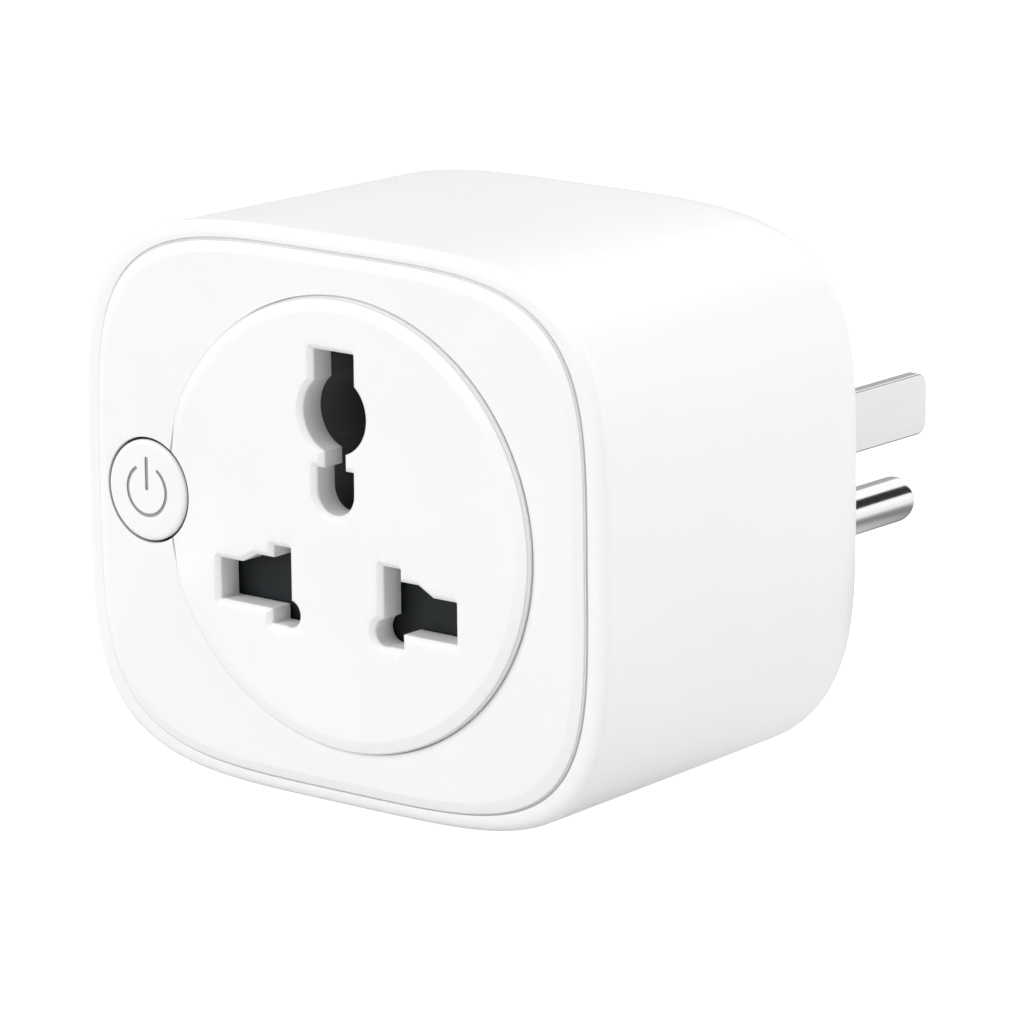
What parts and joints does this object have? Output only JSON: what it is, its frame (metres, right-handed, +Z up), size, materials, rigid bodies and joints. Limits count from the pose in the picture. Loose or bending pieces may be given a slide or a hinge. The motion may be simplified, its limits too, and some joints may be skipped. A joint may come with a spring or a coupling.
{
  "type": "smart plug",
  "caption": "White smart plug with a multi-standard shuttered socket and push button on its face and a flat-blade plug with round earth pin on its back.",
  "frame": {"origin": "centre of the earth pin's root on the flat back face", "axes": "+Y along the plug pins into the wall, +Z up, +X to the right seen from the socket side; the socket looks along -Y"},
  "size_m": [0.0666, 0.0711, 0.0568],
  "materials": {
    "white_shell": "satin white moulded plastic",
    "dark_moulding": "dark charcoal moulding",
    "spring_steel": "plain steel",
    "contact_brass": "bare brass",
    "nickel_blade": "satin nickel plate",
    "chrome_pin": "polished plate",
    "board_green": "solder mask",
    "relay_blue": "moulded",
    "copper_winding": "enamelled wire",
    "shield_can": "tinned",
    "ferrite_tan": "taped core",
    "capacitor_sleeve": "sleeve",
    "capacitor_yellow": "moulded box",
    "varistor_blue": "dipped",
    "fuse_tan": "ceramic body",
    "wire_red": "insulated wire",
    "led_clear": "clear"
  },
  "bodies": {
    "body": {"main_housing": "white_shell", "front_panel": "white_shell", "socket_face": "white_shell", "tact_switch": "dark_moulding", "switch_board": "board_green", "status_led": "led_clear", "shutter_spring_left": "spring_steel", "shutter_spring_right": "spring_steel", "contact_carrier": "dark_moulding", "carrier_cover": "dark_moulding", "live_contact": "contact_brass", "neutral_contact": "contact_brass", "earth_contact": "contact_brass", "pin_holder": "white_shell", "live_blade": "nickel_blade", "neutral_blade": "nickel_blade", "earth_pin": "chrome_pin", "earth_strap": "contact_brass", "main_board": "board_green", "relay_base": "relay_blue", "relay_cover": "relay_blue", "relay_coil": "copper_winding", "relay_yoke": "spring_steel", "relay_contact": "contact_brass", "wireless_module": "shield_can", "transformer": "ferrite_tan", "bulk_capacitor": "capacitor_sleeve", "filter_capacitor": "capacitor_yellow", "varistor": "varistor_blue", "fuse": "fuse_tan", "link_wires": "wire_red", "housing_screws": "spring_steel", "carrier_screws": "spring_steel", "board_screws": "spring_steel", "switch_board_screws": "spring_steel"},
    "power_button": {"power_button": "white_shell"},
    "plunger": {"switch_plunger": "dark_moulding"},
    "shutter_plate": {"shutter": "dark_moulding"},
    "armature": {"relay_armature": "spring_steel"}
  },
  "joints": [
    {"name": "button_press", "type": "slide", "parent": "body", "child": "power_button", "axis": [0, 1, 0], "range_m": [0, 0.0005], "stiffness_N_per_m": 1500, "springref_m": -0.0003},
    {"name": "switch_press", "type": "slide", "parent": "body", "child": "plunger", "axis": [0, 1, 0], "range_m": [0, 0.0005]},
    {"name": "shutter_slide", "type": "slide", "parent": "body", "child": "shutter_plate", "axis": [0, 0, 1], "range_m": [0, 0.009], "stiffness_N_per_m": 60, "springref_m": -0.004, "deforming": ["shutter_spring_left", "shutter_spring_right"]},
    {"name": "armature_swing", "type": "hinge", "parent": "body", "child": "armature", "pos_m": [-0.0364, -0.0061, 0.00665], "axis": [0, 0, -1], "range_deg": [0, 4], "stiffness_Nm_per_rad": 0.02, "springref_deg": -5.73}
  ],
  "couplings": [
    {"joint": "switch_press", "follows": "button_press", "ratio": 1}
  ]
}
